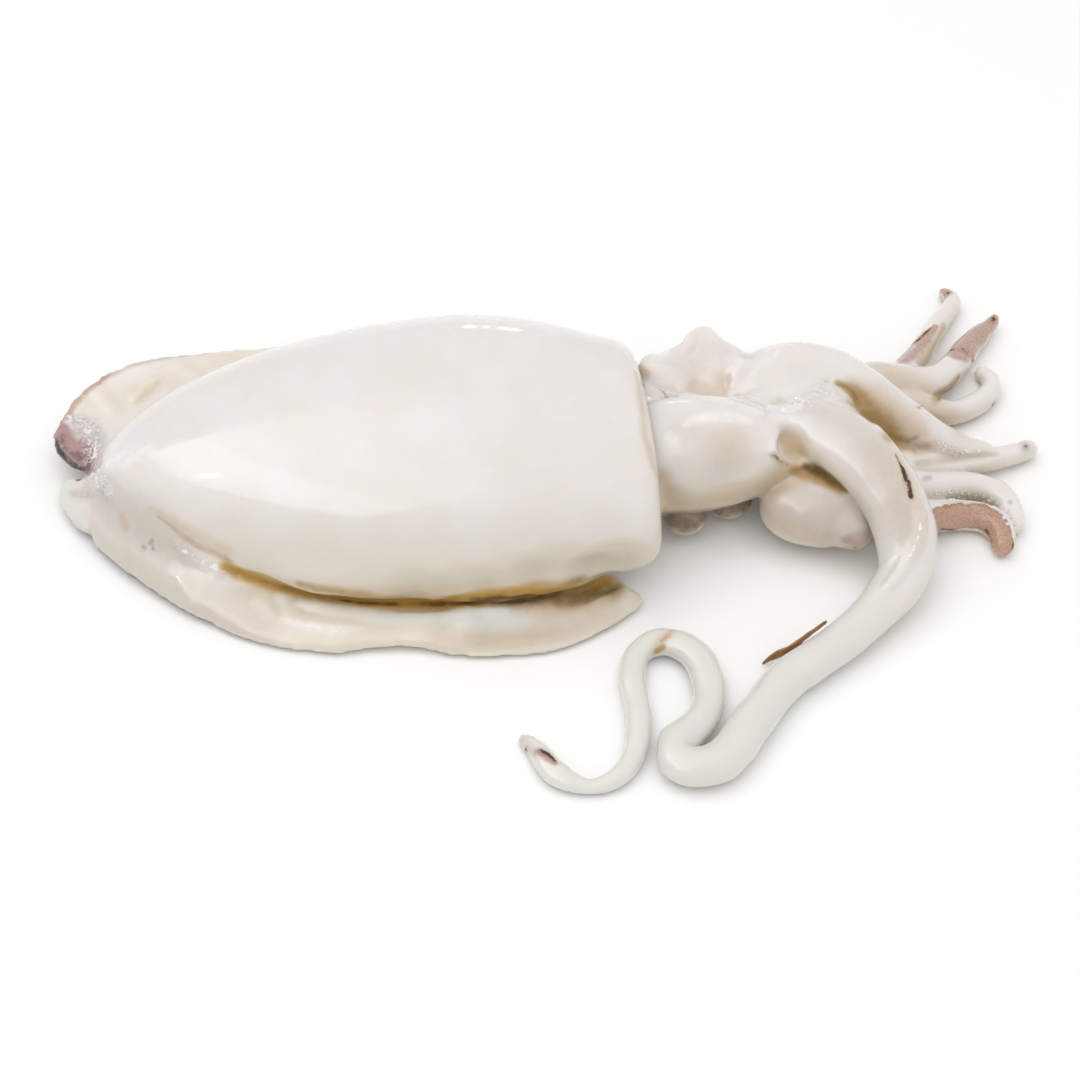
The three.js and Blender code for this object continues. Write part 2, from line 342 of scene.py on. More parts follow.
print("strokes:", *(name for name in vars(Flesh) if not name.startswith("_")))

# %% [markdown]
# No flesh is quite even. A Displace modifier with noise would do, but values drawn from a seed on a grid,
# and eased between its points, can be weighted for each point of the net.

# %% Unevenness
CLOUD_CELLS = 32


def cloud(points, size, seed):
    """Smooth random values from -1 to 1 that change over a length of size."""
    draw = np.random.default_rng(seed).uniform(-1, 1, (CLOUD_CELLS,) * 3)
    cell = np.floor(points / size).astype(int)
    part = points / size - cell
    ease = part * part * (3 - 2 * part)
    total = np.zeros(len(points))
    for corner in itertools.product((0, 1), repeat=3):
        weight = np.prod(np.where(corner, ease, 1 - ease), axis=1)
        total += weight * draw[tuple(((cell + corner) % CLOUD_CELLS).T)]
    return total


def ripple(flesh, size, height, seed, where=1.0):
    """Makes the flesh uneven by up to height."""
    lift = cloud(flesh.points, size, seed) * height * where
    flesh.points += lift[:, None] * flesh.normals()
    print(flesh.thing.name, "uneven by up to", round(np.abs(lift).max() / MM, 2), "mm")


print("clouds repeat every", CLOUD_CELLS, "cells")

# %% [markdown]
# The mantle and the head are the two large pieces. Their nets are fine enough for a fold of a few
# millimetres, and stay below 200,000 triangles. Balls close a slit at the tail and a hole behind the eye.

# %% Mantle and head nets
MANTLE_NET = 0.8 * MM
HEAD_NET = 0.66 * MM
HEAD_GROWTH = 0.25 * MM  # what rounding takes off the limbs
TAIL_FILLS = [((-128.5, 9.5, 7.5), 4.0)]
EYE_FILLS = [((67.5, 6.5, 26.5), 7.5), ((70.5, 3.5, 22.0), 7.0)]

mantle = Flesh("mantle_flesh", "mantle", MANTLE_NET, fills=TAIL_FILLS)
mantle.relax(rounds=40)
mantle.look()
head = Flesh("head_flesh", "head", HEAD_NET, HEAD_GROWTH, EYE_FILLS)
head.relax(rounds=30)
head.look()
for flesh in (mantle, head):
    print(flesh.thing.name, len(flesh.points), "points,", len(flesh.corners), "triangles")

# %% [markdown]
# The mantle is the body, a plump loaf of muscle. Smoothing all of it would melt the fins away, so the back
# is smoothed by a share that grows with height. At the tail a thin skin is drawn tight over the cleft.

# %% Mantle: back, mouth and tail
BACK_HEIGHT = 13 * MM
BACK_FADE = 8 * MM
MOUTH_RIM = [(628, 352), (640, 395), (645, 446), (656, 478), (664, 515), (655, 552)]
TAIL_SKIN = {
    "from back to fin": (400, 14, [(98, 488, 0.7), (120, 506), (145, 522), (170, 536), (195, 552, 0.8),
        (218, 564, 0.5)]),
    "round the tail": (500, 12, [(108, 440), (100, 455), (94, 470), (94, 482)]),
}

back_share = np.clip((mantle.points[:, 2] - BACK_HEIGHT) / BACK_FADE, 0, 1)
mantle.relax(rounds=120, where=back_share, ease_out=EASE_OUT_LESS)
ripple(mantle, size=40 * MM, height=0.3 * MM, seed=3, where=back_share)
mantle.raise_along(MOUTH_RIM, reach=14 * MM, height=0.25 * MM)
mantle.stretch_all(TAIL_SKIN)

# %% [markdown]
# The flank hangs over the near fin in a soft curve, while the solid's bulges. A lattice could bend it, but
# a few pulls bring it straight to the line in the photograph. It is smoothed after, and its foot stays on
# the table.

# %% Mantle: flank
FLANK_FOOT = 5 * MM
FLANK_PULLS = [
    ((300, 582), (300, 586), 12),
    ((340, 591), (340, 594), 12),
    ((420, 598), (420, 590), 13),
    ((470, 596), (470, 588), 13),
    ((515, 590), (515, 584), 14),
    ((560, 584), (560, 574), 16),
    ((615, 580), (615, 566), 16),
]
FLANK_LOW = [(400, 590), (440, 590), (480, 586), (530, 580), (580, 572), (625, 562)]

mantle.grab_all(FLANK_PULLS, above=FLANK_FOOT)
mantle.relax(rounds=60, where=mantle.near(FLANK_LOW, 11 * MM), ease_out=EASE_OUT_LESS)

# %% [markdown]
# A fin is a soft frill of muscle. A cloth simulation could fold one, but its folds would fall where they
# like, so rolls, valley, lip and folds are strokes on the upper side, along paths from the photograph.

# %% Mantle: fins and crease
UP = (0, 0, 1)
FIN_ROLLS = {
    "fin roll": (8, 2.0, [(96, 515), (130, 558), (180, 588), (240, 612), (300, 630), (360, 636),
        (420, 634), (460, 632)]),
    "fin's front roll": (8, 2.0, [(470, 616), (520, 612), (560, 609), (600, 602)]),
    "fin valley": (7, -0.7, [(478, 640, 0.7), (525, 632), (575, 622), (612, 608, 0.6)]),
}
CREASE_SHALLOW = [(228, 567, 0.7), (262, 578), (300, 590), (340, 599), (384, 605, 0.7)]
CREASE = [(233, 569, 0.8), (288, 584), (341, 599), (382, 606), (435, 606), (479, 601), (511, 597),
          (560, 594), (612, 588)]
FIN_STREAK = [(294, 622, 0.6), (318, 628), (346, 632, 0.7)]
FIN_FOLDS = {
    "fin lip": (3.5, 0.9, [(300, 605, 0.6), (340, 614), (382, 619), (430, 619), (474, 615),
        (505, 610, 0.7)]),
    "fin notch": (6, -2.2, [(520, 599, 0.6), (560, 595), (596, 589), (616, 584)]),
    "fin streak": (2.4, 1.1, FIN_STREAK),
    "near fin's folds": (3.5, 0.8, [(183, 584), (190, 604)], [(262, 602), (272, 618)],
        [(282, 600), (290, 612)], [(118, 520), (127, 532)], [(120, 560), (134, 572)]),
    "far fin's folds": (3.5, 0.8, [(138, 397), (155, 383)], [(98, 392), (112, 410)],
        [(176, 366), (194, 376)]),
}

mantle.raise_all(FIN_ROLLS, facing=UP)
mantle.stretch(rounds=90, where=mantle.near(CREASE_SHALLOW, 7 * MM))
mantle.raise_along(CREASE, reach=3 * MM, height=-0.8 * MM)
mantle.raise_all(FIN_FOLDS, facing=UP)

# %% [markdown]
# The tail ends in a cap of skin with wrinkles all round, and the fins have pointed corners. Wrinkles come
# last, since smoothing would take them away, and only where the wet skin is gathered.

# %% Mantle: tail cap, corners and wrinkles
TAIL_CAP = [(60, 434, 0.7), (66, 446), (76, 458, 0.8)]
FIN_PULLS = [
    ((604, 588), (614, 577), 8),
    ((630, 604), (639, 599), 7),
    ((86, 540), (91, 536), 4),
    ((66, 486), (63, 483), 6),
]
TAIL_WRINKLES = [(70, 418, 0.6), (88, 428), (93, 445), (94, 462), (100, 484), (110, 494, 0.5)]
FIN_WET = [(176, 545, 0.6), (196, 558), (214, 566), (228, 576, 0.8)]
FIN_WET_SHARE = 0.6

mantle.raise_along(TAIL_CAP, reach=6 * MM, height=0.9 * MM)
mantle.grab_all(FIN_PULLS)
gathered = np.maximum(mantle.near(TAIL_WRINKLES, 6 * MM), FIN_WET_SHARE * mantle.near(FIN_WET, 5 * MM))
ripple(mantle, size=7 * MM, height=0.3 * MM, seed=5, where=1 - back_share)
mantle.relax(rounds=3)
ripple(mantle, size=2.4 * MM, height=0.7 * MM, seed=7, where=gathered)
fin_reach = mantle.points[:, 1] / MM
print("fins reach from", round(fin_reach.min(), 1), "to", round(fin_reach.max(), 1), "mm")

# %% [markdown]
# The head comes out of the mantle's mouth as a barrel, one piece of flesh with its limbs. The solid has
# creases where they meet, which the animal doesn't. A coarser net would hide them but blunt the limbs, so
# only the crown is drawn tight, and then looked at again.

# %% Head: crown
EYE_SEAT = [(788, 440), (798, 450)]
CROWN_SKIN = {
    "shoulder": (250, 20, [(750, 380), (790, 380), (830, 388)]),
    "limb root": (300, 13, [(800, 394), (820, 392), (836, 392)]),
    "limb neck": (250, 12, [(780, 418), (796, 414)]),
    "eye seat": (300, 12, EYE_SEAT),
}
RIDGE_FOOT = [(660, 385), (690, 385)]

head.stretch_all(CROWN_SKIN)
head.relax(rounds=40, where=head.near(EYE_SEAT, 10 * MM), ease_out=-EASE_IN)
head.look()
head.stretch(rounds=60, where=head.near(RIDGE_FOOT, 10 * MM))

# %% [markdown]
# A wavy ridge, a sharp crest and wet beads stand on the head, and the eye lies in a pocket. A boolean would
# cut it with hard edges, so it is pushed in along the line of sight and its rim is raised.

# %% Head: ridge, crest and eye
RIDGE_STROKES = {
    "ridge dips": (6, -1.3, [(672, 351), (680, 350)], [(734, 350), (744, 354)]),
    "ridge edge": (2.6, 0.9, [(640, 361), (664, 356), (678, 350), (690, 338), (703, 332), (714, 341),
        (725, 347)]),
    "ridge crease": (2.5, -0.4, [(676, 364), (693, 360), (712, 356)]),
    "ridge hollow": (6, -2.0, [(697, 386), (710, 388), (724, 386)]),
    "arm base": (3, 1.2, [(730, 388), (735, 374), (744, 360)]),
    "barrel crest": (2.2, 1.0, [(650, 389), (670, 397), (700, 398), (725, 401), (745, 409), (761, 415)]),
    "barrel shoulder": (4, 0.4, [(686, 421), (717, 416), (748, 416)]),
    "behind the crest": (4, -0.7, [(745, 396), (762, 402), (776, 398)]),
}
EYE_PIT = [(787, 438), (792, 450)]
EYE_DEPTH = 1.9 * MM
EYE_STROKES = {
    "eye rim": (1.9, 0.9, [(790, 429, 0.6), (780, 433), (774, 442), (773, 451), (779, 460), (791, 466),
        (805, 465, 0.7)]),
    "crown beads": (1.6, 0.5, [(773, 405)], [(786, 409)], [(802, 405)], [(817, 386)], [(756, 372)],
        [(777, 353)]),
}

head.raise_all(RIDGE_STROKES)
head.points += EYE_DEPTH * head.near(EYE_PIT, 6 * MM)[:, None] * np.array(forward)
head.raise_all(EYE_STROKES)

# %% [markdown]
# The thick limb in front has a keel, a hollow and a slit, and the tentacle turns back at a heel that is
# smoothed to one round bend. A curve with a bevel would be a plain tube, so strokes shape them, and pulls
# bring tips and edges to their place. Wrinkles come last.

# %% Head: limbs
ARM_GROOVE = [(918, 464, 0.7), (948, 460), (974, 457), (996, 454, 0.6)]
LIMB_STROKES = {
    "keel hollow": (5, -0.3, [(902, 500), (908, 528), (898, 553)]),
    "keel": (3, 1.1, [(908, 484, 0.6), (914, 500), (920, 516), (921, 532), (914, 549), (903, 566),
        (888, 586, 0.7)]),
    "limb slit": (1.8, -0.4, [(897, 457, 0.6), (903, 470), (908, 486), (911, 496, 0.6)]),
    "limb edge": (2.2, 0.5, [(840, 384, 0.6), (863, 412), (881, 431), (900, 455)]),
    "arm groove": (2.2, -0.6, ARM_GROOVE),
}
HEEL = [(672, 742), (668, 762), (690, 772), (720, 768)]
HEAD_PULLS = [
    ((652, 369), (642, 367), 9),
    ((856, 532), (863, 545), 9),
    ((848, 406), (851, 397), 9),
    ((703, 338), (703, 330), 7),
    ((994, 318), (996, 315), 4),
    ((993, 450), (997, 452), 4),
]
CROWN_WET = [(742, 404, 0.7), (772, 405), (802, 403), (826, 392, 0.8)]

head.raise_all(LIMB_STROKES)
head.relax(rounds=60, where=head.near(HEEL, 14 * MM), ease_out=EASE_OUT_LESS)
head.grab_all(HEAD_PULLS)
ripple(head, size=6 * MM, height=0.3 * MM, seed=11)
head.relax(rounds=2)
ripple(head, size=2.2 * MM, height=0.5 * MM, seed=13, where=head.near(CROWN_WET, 8 * MM))
print("head highest", round(head.points[:, 2].max() / MM, 1), "mm")

# %% [markdown]
# Folds get painted shade, and the sides of the flesh get painted shade that makes them creamier than its
# top. Neither has to be drawn: a fold lies below the smoothed surface, and on the sides the normal doesn't
# point up.

# %% Painted shade in hollows and on the sides
HOLLOW_ROUNDS = 60
HOLLOW_DEPTH = 0.5 * MM
LOW_SHADE_FOOT = 4 * MM
LOW_SHADE_RISE = 12 * MM
LOW_SHADE_MOST = 0.8
SIDE_SHADE_TURN = 0.85


def mark_fold_shade(flesh):
    """Marks painted shade where the flesh lies below its own smoothed surface."""
    kept = flesh.points.copy()
    out = flesh.normals()
    whole = flesh.patch(1)
    for _ in range(HOLLOW_ROUNDS):
        flesh.points += EASE_IN * flesh.drift(whole)
    depth = np.sum((flesh.points - kept) * out, axis=1)
    flesh.points = kept
    flesh.mark("hollow", np.clip(depth / HOLLOW_DEPTH, 0, 1))
    print(flesh.thing.name, "deepest hollow", round(depth.max() / MM, 1), "mm")


for flesh in (mantle, head):
    mark_fold_shade(flesh)
    flesh.look()
    # Painted shade: creamier where the normal turns away from up.
    flesh.mark("cream", np.clip(SIDE_SHADE_TURN - flesh.normals()[:, 2], 0, 1))
# Painted shade: the mantle gets creamier the lower it lies.
mantle.mark("cream", LOW_SHADE_MOST * np.clip(1 - (mantle.points[:, 2] - LOW_SHADE_FOOT) / LOW_SHADE_RISE, 0, 1))

# %% [markdown]
# The crease is the mantle's darkest line, a brown stain darkened by painted shade: gold, then brown, then
# nearly black in the slit at its front, with painted shade in gold and tan on the flank above. An image
# could be painted, but rows of pixels change in one place.

# %% Mantle stains and painted shade: crease, flank and mouth
CREASE_FRONT = [(492, 601, 0.5), (524, 600, 0.8), (560, 598), (590, 594), (613, 590)]
CREASE_STAINS_AND_SHADE = [
    # The crease's brown stain, with painted shade in it.
    ("crease", 0.66, 3.8, [(227, 567), (244, 574), (262, 580), (300, 591), (341, 598), (382, 601),
        (435, 600, 1.1), (479, 597, 1.2), (511, 593, 1.2), (560, 590, 1.2), (606, 583, 1.2)]),
    ("crease", 1.0, 2.8, [(340, 600, 0.4), (362, 603, 0.6), (382, 604, 0.7), (435, 604), (470, 602, 1.1),
        (500, 597, 1.1), (530, 595, 0.8), (560, 592, 0.5)]),
    # Painted shade: umber and gold in the slit and the wedge at the crease's front.
    ("umber", 0.8, 3, [(474, 600, 0.8), (500, 598), (524, 596, 0.8)]),
    ("umber", 0.65, 5.6, CREASE_FRONT),
    ("gold", 0.6, 7, CREASE_FRONT),
    # Painted shade: gold and tan on the flank above the crease.
    ("gold", 0.6, 4.5, [(300, 584, 0.6), (360, 595), (420, 599), (480, 595), (530, 588),
        (580, 580, 0.8)]),
    ("tan", 0.5, 7, [(250, 574, 0.5), (300, 586, 0.7), (360, 592, 0.8), (420, 592), (480, 588),
        (540, 583, 0.8), (600, 575, 0.5)]),
    ("tan", 0.6, 2.6, [(636, 372, 0.6), (641, 400), (644, 435), (653, 465), (662, 500, 0.6)]),
]

mantle.stain_all(CREASE_STAINS_AND_SHADE)

# %% [markdown]
# Fins are thin: light comes through their glassy lip, which is also painted paler as a highlight, they are
# grey where they lie low, and scraps of skin are left as a line, a streak and spots. Under the crease's
# front the near fin gets painted shade. The far fin has a rosy and lilac hem. Noise would put all this
# anywhere, so each has its path.

# %% Mantle stains: fins
FIN_FRONT = [(440, 640, 0.6), (500, 642), (540, 632), (580, 622), (606, 612, 0.7)]
FIN_STAINS_SHADE_AND_HIGHLIGHT = [
    ("grey", 0.6, 14, [(88, 528, 0.7), (120, 560), (160, 588), (210, 612), (260, 628, 0.8)]),
    ("grey", 0.4, 12, FIN_FRONT),
    ("tan", 0.3, 10, FIN_FRONT),
    # Painted shade: tan on the near fin under the crease's front.
    ("tan", 0.6, 6, [(516, 610, 0.5), (550, 610), (590, 606), (612, 600, 0.7)]),
    # Glassy lip, painted paler as a highlight.
    ("glassy", 0.9, 7, [(376, 618, 0.5), (412, 619, 0.6), (446, 616, 0.7), (480, 618), (524, 616, 0.8)]),
    ("line", 0.8, 2.6, [(158, 517, 0.4), (170, 525, 0.7), (184, 537), (198, 546), (214, 553),
        (230, 561)]),
    ("tan", 0.5, 5, [(150, 508, 0.3), (174, 522, 0.8), (198, 537), (226, 552)]),
    ("tan", 0.6, 2.2, [(121, 517), (126, 528)]),
    ("umber", 0.5, 1.7, [(143, 547), (145, 548)], [(150, 543), (152, 541)], [(153, 548)],
        [(87, 541), (90, 546)]),
    ("cream", 0.55, 15, [(84, 408), (120, 398), (160, 384), (200, 370), (250, 352)]),
    ("tan", 0.5, 3, [(136, 402, 0.6), (146, 392), (158, 382, 0.6)]),
    ("lilac", 1.0, 3.4, [(96, 377, 0.7), (110, 371), (126, 364), (150, 359), (176, 356, 0.7),
        (214, 350, 0.5)]),
    ("blush", 1.0, 4.5, [(62, 420, 0.6), (66, 404), (72, 393), (84, 384), (95, 377), (106, 373, 0.5)]),
]

mantle.stain_all(FIN_STAINS_SHADE_AND_HIGHLIGHT)

# %% [markdown]
# On the tail's cap the skin was not taken off: purple and red with a nearly black hem, lilac where it thins
# out. Of stains with one name the strongest counts, so the purple can be laid in three strokes.

# %% Mantle stains: tail
TAIL_STAINS = [
    ("grey", 0.85, 15, [(90, 476, 0.6), (104, 496, 0.8), (125, 514), (150, 530), (176, 548, 0.8)]),
    ("lilac", 0.5, 8, [(84, 432), (93, 446), (97, 462), (98, 478), (108, 492)]),
    ("lilac", 1.0, 7, [(70, 420, 0.7), (84, 427), (92, 440), (95, 456), (90, 470, 0.8)]),
    ("purple", 0.75, 7.5, [(58, 432, 0.8), (63, 446), (72, 456), (82, 463), (88, 468, 0.7)]),
    ("purple", 1.0, 6, [(58, 426, 0.4), (64, 448, 0.4), (72, 456, 0.8), (80, 458), (86, 462), (88, 470)]),
    ("purple", 0.72, 4.6, [(84, 443, 0.8), (86, 453), (89, 462), (91, 470, 0.8)]),
    ("dark", 1.0, 3.4, [(54, 440, 0.5), (56, 449), (60, 458), (66, 467), (73, 473), (80, 478, 0.6)]),
    ("glassy", 0.9, 7, [(66, 490, 0.7), (74, 505), (84, 520, 0.8)]),
    ("blush", 0.5, 4, [(72, 492, 0.7), (82, 494), (92, 496, 0.7)]),
]

mantle.stain_all(TAIL_STAINS)

# %% [markdown]
# Wet wrinkles glitter, and smooth wet flesh shines palely. Reflections make most of the shine, but wrinkles
# finer than the net can't mirror, so white glints and pale patches are painted on as highlights, beside the
# wrinkles' own relief.

# %% Mantle wrinkles and painted highlights
MANTLE_WRINKLES_AND_PAINTED_HIGHLIGHTS = [
    ("crinkle", 1.0, 6, TAIL_WRINKLES),
    # Painted highlights: white glints on the wrinkles of the tail and the fin, and along the fin's streak.
    ("glint", 0.6, 4.5, TAIL_WRINKLES),
    ("crinkle", 0.5, 4, FIN_WET),
    ("glint", 0.6, 3, FIN_WET),
    ("glint", 0.62, 1.8, FIN_STREAK),
    ("crinkle", 0.2, 8, [(452, 323), (492, 321), (532, 325)]),
    # Painted highlights: pale patches on the tail's base, the fin's streak and the fin's lip.
    ("sheen", 0.55, 7, [(108, 464, 0.5), (126, 457), (148, 452, 0.7)]),
    ("sheen", 0.5, 4, [(282, 619, 0.5), (308, 626), (338, 630), (362, 628, 0.5)]),
    ("sheen", 0.45, 3, [(440, 614, 0.5), (470, 614), (500, 611), (524, 611, 0.5)]),
]

mantle.stain_all(MANTLE_WRINKLES_AND_PAINTED_HIGHLIGHTS)

# %% [markdown]
# The barrel and the bulge below it are greyer than the mantle, with painted shade in tan where they turn
# under, on the ridge's lower face and behind its crest, and painted shade in umber on the lumps beneath.
# The eye is peach in its pocket, with a thin dark line and a dark gap of painted shade that runs out from
# it. Separate materials would meet in hard edges, while stains fade into each other.

# %% Head stains and painted shade: barrel, bulge and eye
EYE_PEACH = [(788, 440), (793, 446), (800, 452)]
BULGE_END = [(846, 540, 0.6), (856, 540), (866, 537)]
BARREL_STAINS_AND_SHADE = [
    ("grey", 0.5, 12, [(680, 428, 0.8), (702, 444), (722, 468)]),
    ("tan", 0.5, 12, [(734, 444)]),
    # Painted shade: tan where the barrel turns under.
    ("tan", 0.75, 9, [(662, 480, 0.7), (668, 502), (695, 507), (730, 498), (762, 488), (792, 474)]),
    # Painted shade: umber on the lumps under the barrel.
    ("umber", 0.8, 8, [(672, 520), (688, 524), (702, 516), (718, 510), (738, 507), (750, 502)]),
    ("lilac", 1.0, 3, [(664, 530), (666, 542)]),
]
RIDGE_STAINS_AND_SHADE = [
    ("grey", 0.5, 9, [(676, 362, 0.7), (692, 358), (708, 348)]),
    # Painted shade: tan on the ridge's lower face and in the hollow behind the crest.
    ("tan", 0.3, 7, [(686, 374), (705, 372), (722, 368)]),
    ("tan", 0.4, 7, [(695, 386), (709, 388), (724, 386)]),
    ("gold", 0.45, 3.2, [(640, 369), (646, 374)]),
]
BULGE_STAINS_AND_SHADE = [
    ("grey", 1.0, 15, [(772, 506, 0.7), (790, 504), (820, 510), (850, 520)]),
    # Painted shade: tan along the bulge's lower edge.
    ("tan", 0.45, 8, [(760, 500), (770, 514), (790, 532), (820, 542), (850, 546)]),
    ("lilac", 1.0, 5, BULGE_END),
    ("purple", 0.3, 5, BULGE_END),
    ("line", 0.88, 2.6, [(844, 547, 0.5), (856, 548), (868, 546)]),
]
EYE_STAINS_AND_SHADE = [
    # Painted shade: umber and gold in the gap that runs out from the eye.
    ("umber", 0.75, 3, [(805, 466, 0.7), (815, 471), (824, 476), (837, 484), (847, 491, 0.5)]),
    ("gold", 0.9, 5, [(796, 470, 0.7), (812, 473), (828, 480), (842, 488, 0.7)]),
    ("tan", 1.0, 5.5, EYE_PEACH),
    ("gold", 0.25, 5, EYE_PEACH),
    ("line", 0.86, 2.6, [(774, 455), (780, 461, 0.9), (787, 464, 0.8), (792, 466, 0.9)]),
    ("line", 0.92, 2.4, [(774, 455), (777, 458)]),
]

for stains in (BARREL_STAINS_AND_SHADE, RIDGE_STAINS_AND_SHADE, BULGE_STAINS_AND_SHADE, EYE_STAINS_AND_SHADE):
    head.stain_all(stains)

# %% [markdown]
# Skin is left on some arms: rosy on the two far ones, brown on the curled one, with thin dark edges where
# it is torn. The limb and the top arm are bare, with painted shade in tan and gold on the limb's side,
# between the arm roots, under the top arm and the rosy arm, and in the groove along the top arm's end. Skin
# as a mesh of its own would be too thick, so it is stained on. Arms are named by where they lie in the fan.

# %% Head stains and painted shade: arms
TOP_ARM_BROWN = [(888, 438), (900, 445), (914, 448), (926, 446, 0.8)]
POINTED_TIP = [(1026, 446)]
LIMB_STAINS_AND_SHADE = [
    # Painted shade: tan between the arm roots.
    ("tan", 0.55, 13, [(885, 372), (905, 384), (925, 396), (940, 418), (958, 430, 0.7)]),
    ("grey", 0.6, 13, [(812, 408, 0.7), (838, 418), (866, 444), (884, 476), (898, 510), (904, 540, 0.7)]),
    # Painted shade: tan on the limb's right side.
    ("tan", 0.4, 12, [(888, 456), (902, 480), (912, 510), (916, 530, 0.7)]),
    ("line", 1.0, 2.6, [(896, 455, 0.5), (900, 464, 0.8), (903, 471), (906, 478, 1.2), (908, 484, 1.2),
        (910, 490), (911, 497, 0.8)]),
]
FAR_ARM_STAINS = [
    ("rose", 0.8, 5, [(899, 362), (912, 351), (924, 339, 0.8), (936, 326, 0.3)]),
    ("rose", 0.7, 3, [(944, 300, 0.8), (948, 293), (942, 290, 0.7)]),
    ("tan", 0.9, 4.5, [(920, 363), (930, 352), (938, 340, 0.8), (944, 326, 0.5)]),
    ("line", 0.9, 2.6, [(906, 350, 0.8), (918, 340), (931, 328, 0.6)]),
    ("line", 0.94, 2.6, [(897, 360, 0.7), (903, 352)]),
]
ROSY_ARM_STAINS_AND_SHADE = [
    ("rose", 1.0, 8, [(958, 352, 0.8), (964, 346), (976, 332), (992, 318, 0.7)]),
    ("line", 0.96, 2.8, [(961, 349), (966, 353)], [(973, 360)], [(952, 350)], [(993, 320)]),
    ("line", 0.91, 2.6, [(918, 408, 0.6), (936, 402), (949, 392), (959, 376, 0.6)]),
    # Painted shadow: gold under the rosy arm.
    ("gold", 0.55, 4, [(934, 399, 0.6), (945, 391), (958, 378, 0.7)]),
]
TOP_ARM_STAINS_AND_SHADE = [
    # Painted shade: tan and gold under the top arm.
    ("tan", 0.7, 10, [(852, 388, 0.6), (876, 402), (894, 418), (912, 432)]),
    ("gold", 0.7, 7, [(838, 383, 0.3), (848, 390, 0.5), (862, 402, 0.8), (876, 416), (888, 430),
        (898, 440, 0.8)]),
    ("tan", 0.8, 5, TOP_ARM_BROWN),
    ("rose", 0.45, 3.6, TOP_ARM_BROWN),
    # Painted shade: tan in the groove along the top arm's end.
    ("tan", 0.35, 2.6, ARM_GROOVE),
]
ARM_STAINS = [
    ("line", 0.95, 2.6, POINTED_TIP),
    ("lilac", 0.8, 4.5, POINTED_TIP),
    ("skin", 1.0, 6.2, [(941, 521), (960, 517), (980, 516), (993, 524), (999, 538), (1003, 550)]),
    ("line", 0.78, 2.6, [(944, 509), (956, 503), (968, 502), (980, 503), (990, 509), (997, 518, 0.7)]),
    ("line", 0.9, 2.6, [(990, 322), (995, 317)], [(1013, 545), (1008, 554)],
        [(942, 529, 0.7), (956, 531)], [(986, 530), (992, 541)]),
    ("line", 0.97, 2.8, [(948, 293)], [(941, 301)], [(993, 405)]),
    ("umber", 0.45, 2, [(924, 479), (930, 477)], [(1010, 502)], [(908, 441), (917, 437)]),
]

for stains in (LIMB_STAINS_AND_SHADE, FAR_ARM_STAINS, ROSY_ARM_STAINS_AND_SHADE, TOP_ARM_STAINS_AND_SHADE, ARM_STAINS):
    head.stain_all(stains)

# %% [markdown]
# Light goes deep into the long tentacle, so a glassy stain covers its whole width. It is cracked at a turn,
# and skin is left on the club at its end. The head's wrinkles and painted highlights come last.

# %% Head stains: tentacle, wrinkles and painted highlights
TOP_ARM_END = [(938, 444, 0.7), (960, 451), (986, 452, 0.7)]
TENTACLE_STAINS = [
    ("glassy", 1.0, 18, [(886, 560, 0.5), (870, 600, 0.7), (840, 640), (800, 684), (760, 722), (720, 748),
        (688, 752), (664, 736), (672, 708), (700, 690), (716, 664), (704, 640), (680, 634), (652, 644),
        (640, 672), (644, 712), (636, 752), (610, 780), (580, 784), (556, 768), (530, 748)]),
    ("tan", 0.6, 3, [(670, 633), (660, 641), (656, 652)]),
    ("gold", 0.7, 1.8, [(657, 651), (663, 647)]),
    ("line", 0.84, 2.4, [(671, 631, 0.6), (668, 636), (661, 641, 0.6)]),
    ("lilac", 0.7, 3.5, [(522, 742), (530, 750), (540, 754), (556, 762, 0.6)]),
    ("purple", 0.42, 2.6, [(538, 751), (547, 757), (555, 763, 0.7)]),
    ("line", 0.97, 2.6, [(526, 750)], [(570, 768)], [(541, 750, 0.7), (549, 755), (555, 761, 0.7)]),
]
HEAD_WRINKLES_AND_PAINTED_HIGHLIGHTS = [
    # Painted highlights: white glints along the keel, on the crown and the top arm's end, and pale patches
    # on the barrel.
    ("glint", 0.7, 1.6, [(919, 512, 0.6), (921, 528), (916, 545), (905, 563, 0.7)]),
    ("glint", 0.6, 3, CROWN_WET),
    ("crinkle", 0.8, 6, CROWN_WET),
    ("glint", 0.58, 2.4, TOP_ARM_END),
    ("crinkle", 0.5, 3.5, TOP_ARM_END),
    ("sheen", 0.5, 4, [(684, 425, 0.5), (694, 420), (712, 416), (732, 417), (752, 422, 0.5)],
        [(671, 438), (674, 440)]),
]

head.stain_all(TENTACLE_STAINS)
head.stain_all(HEAD_WRINKLES_AND_PAINTED_HIGHLIGHTS)
for flesh in (mantle, head):
    flesh.finish()

# %% [markdown]
# A material is a tree of nodes. It can be clicked together, but in a script each node takes several lines,
# so a helper adds a node, sets its inputs and gives back its output. Patterns use object coordinates, so
# their sizes are real.

# %% Paint
def feed(tree, node, inputs):
    """Sets a node's inputs, by name or number. Each is a value, or the socket that feeds it."""
    for key, value in inputs.items():
        fitting = [s for s in node.inputs if s.name == key and s.enabled] or [node.inputs[key]]
        if isinstance(value, bpy.types.NodeSocket):
            tree.links.new(value, fitting[0])
        else:
            fitting[0].default_value = value


def add_node(tree, kind, inputs, output=0, **settings):
    node = tree.nodes.new(kind)
    for key, value in settings.items():
        setattr(node, key, value)
    feed(tree, node, inputs)
    return node.outputs[output]


